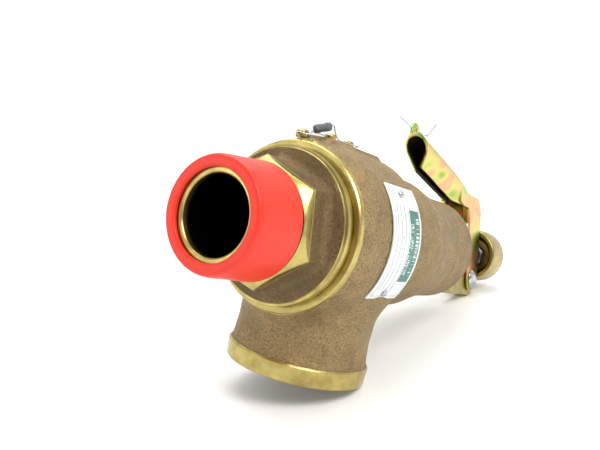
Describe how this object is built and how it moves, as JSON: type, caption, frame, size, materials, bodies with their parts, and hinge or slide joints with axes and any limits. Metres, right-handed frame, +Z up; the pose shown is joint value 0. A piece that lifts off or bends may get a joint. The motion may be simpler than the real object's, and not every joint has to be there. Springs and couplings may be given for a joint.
{
  "type": "pressure relief valve",
  "caption": "Side-outlet safety relief valve: threaded male inlet with a red protector, cast bronze body, female outlet, lift lever and knob on the far end.",
  "frame": {"origin": "centre of the bounding box's bottom face, with the valve lying on the rim of its outlet and on the foot of its lever cap", "axes": "+Y runs from the inlet to the lift knob, dropping 12.6 degrees towards the knob; +Z is up; +X is the nameplate's side"},
  "size_m": [0.0916, 0.3432, 0.1371],
  "materials": {
    "cast_bronze": "as-cast bronze, brown, rough",
    "brass": "machined",
    "red_plastic": "moulded polyethylene",
    "steel": "turned stainless steel",
    "yellow_zinc": "yellow iridescent zinc plate on steel",
    "bright_zinc": "bright plated steel",
    "spring_steel": "dark spring steel",
    "lead": "dull lead, density stood in by cast iron",
    "plate": "satin, printed"
  },
  "bodies": {
    "valve": {"inlet_nozzle": "brass", "body": "cast_bronze", "nozzle_ring": "brass", "guide": "brass", "guide_ring": "brass", "spring": "spring_steel", "upper_spring_washer": "steel", "compression_screw": "steel", "jam_nut": "steel", "nozzle_lock_screw": "brass", "nozzle_ring_screw": "brass", "guide_ring_screw": "brass", "seal_wire": "bright_zinc", "lead_seal": "lead", "nameplate": "plate", "nameplate_screw_1": "steel", "nameplate_screw_2": "steel", "lever_cap": "brass", "cap_set_screw_1": "steel", "cap_set_screw_2": "steel", "pivot_pin": "bright_zinc", "pivot_washer": "bright_zinc", "split_pin": "bright_zinc"},
    "spindle_line": {"spindle": "steel", "disc_holder": "brass", "seat_disc": "steel", "lower_spring_washer": "steel", "lift_knob": "brass", "knob_lock_nut": "steel"},
    "lift_lever": {"lever": "yellow_zinc", "lever_wire": "bright_zinc"},
    "protector": {"thread_protector": "red_plastic"}
  },
  "joints": [
    {"name": "lever_lift", "type": "hinge", "parent": "valve", "child": "lift_lever", "pos_m": [0.00154, 0.12252, 0.01299], "axis": [-1, 0, 0], "range_deg": [0, 8]},
    {"name": "spindle_lift", "type": "slide", "parent": "valve", "child": "spindle_line", "axis": [0, 0.976, -0.2179], "range_m": [0, 0.0055], "stiffness_N_per_m": 800, "springref_m": -0.01, "deforming": ["spring"]},
    {"name": "protector_off", "type": "slide", "parent": "valve", "child": "protector", "axis": [0, -0.976, 0.2179], "range_m": [0, 0.04]}
  ],
  "couplings": [
    {"joint": "spindle_lift", "follows": "lever_lift", "m_per_rad": 0.039}
  ]
}
